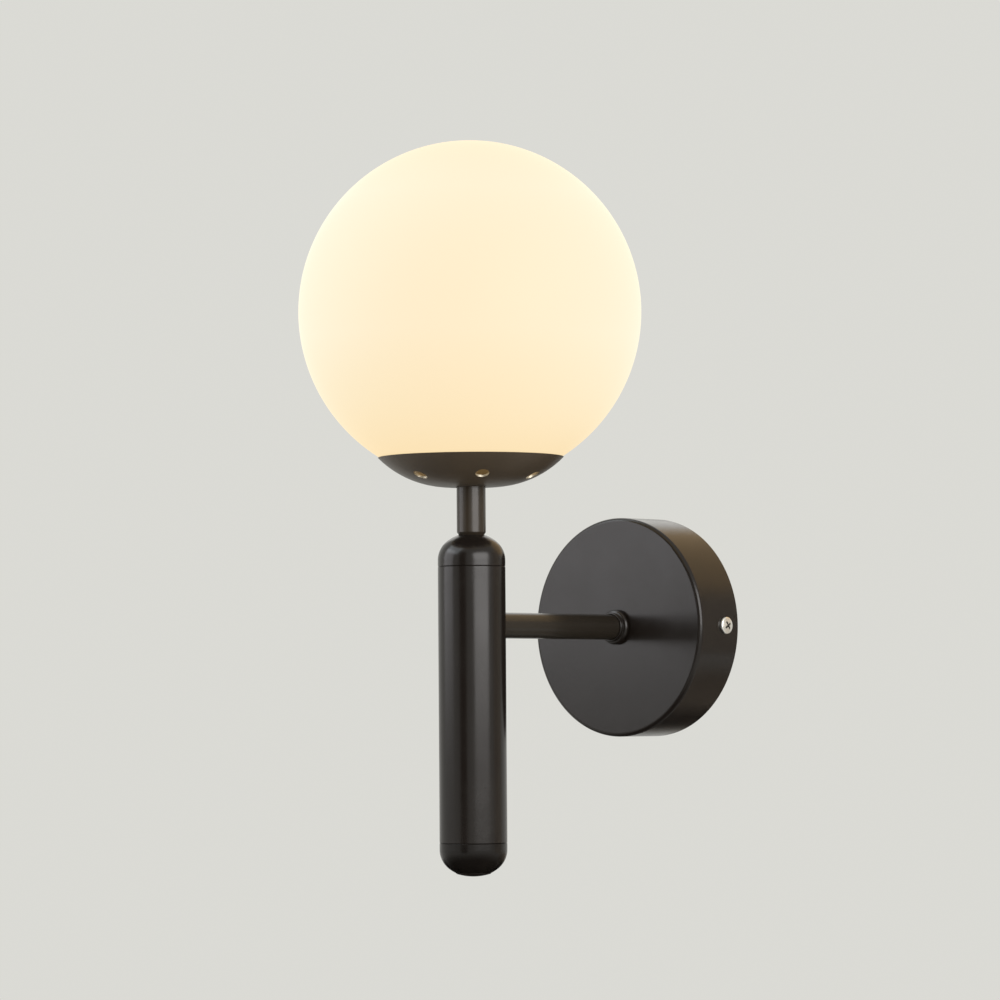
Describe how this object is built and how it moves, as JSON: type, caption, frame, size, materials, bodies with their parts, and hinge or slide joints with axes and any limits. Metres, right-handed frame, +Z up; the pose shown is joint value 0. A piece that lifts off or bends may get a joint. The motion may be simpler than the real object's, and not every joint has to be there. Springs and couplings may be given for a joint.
{
  "type": "globe wall sconce",
  "caption": "Wall light: opal glass globe on a vented dish over an upright round-ended tube, held by a straight arm from a round wall canopy.",
  "frame": {"origin": "middle of the two wall-screw slots, on the wall's face", "axes": "+X along the wall, +Y into the wall, +Z up along the lamp tube"},
  "size_m": [0.15, 0.1969, 0.3212],
  "materials": {
    "black_coat": "satin black powder coat",
    "plug_coat": "satin black, slightly brown",
    "zinc_steel": "bright zinc plate",
    "nickel_screw": "nickel plate",
    "brass": "plain brass",
    "tinned_copper": "tin plate",
    "spring_steel": "blued spring steel",
    "opal_glass": "opal glass, satin",
    "holder_black": "phenolic",
    "holder_ceramic": "unglazed steatite",
    "bulb_black_glass": "black glass insulator",
    "bulb_cap_metal": "plated cap",
    "bulb_white_plastic": "white moulding",
    "bulb_opal_plastic": "frosted diffuser",
    "block_plastic": "natural nylon",
    "terminal_screw_steel": "zinc plate",
    "live_brown": "insulation",
    "neutral_blue": "insulation",
    "earth_green_yellow": "insulation"
  },
  "bodies": {
    "lamp_frame": {"arm": "black_coat", "arm_collar": "black_coat", "arm_rod": "zinc_steel", "body_tube": "black_coat", "bottom_cap": "black_coat", "bottom_plug": "plug_coat", "canopy": "black_coat", "canopy_screws": "nickel_screw", "centre_contact": "brass", "dish": "black_coat", "earth_lug": "tinned_copper", "earth_screw": "brass", "earth_wire": "earth_green_yellow", "globe_spring": "spring_steel", "holder_base": "holder_black", "holder_insert": "holder_ceramic", "holder_sleeve": "holder_black", "lamp_nipple": "zinc_steel", "live_wire": "live_brown", "neutral_wire": "neutral_blue", "nipple_nuts": "zinc_steel", "rod_nuts": "zinc_steel", "rod_saddle": "zinc_steel", "rod_washer": "zinc_steel", "screw_shell": "brass", "stem": "black_coat", "terminal_block": "block_plastic", "terminal_poles": "brass", "terminal_screws": "terminal_screw_steel", "top_cap": "black_coat", "wall_bracket": "zinc_steel"},
    "globe_shade": {"globe": "opal_glass"},
    "bulb": {"bulb_contact": "brass", "bulb_insulator": "bulb_black_glass", "bulb_cap": "bulb_cap_metal", "bulb_collar": "bulb_white_plastic", "bulb_diffuser": "bulb_opal_plastic"}
  },
  "joints": [
    {"name": "globe_lift", "type": "slide", "parent": "lamp_frame", "child": "globe_shade", "axis": [0, 0, 1], "range_m": [0, 0.095]},
    {"name": "bulb_unscrew", "type": "hinge", "parent": "lamp_frame", "child": "bulb", "pos_m": [0, -0.1219, 0.1], "axis": [0, 0, 1], "range_deg": [0, 1080]}
  ]
}
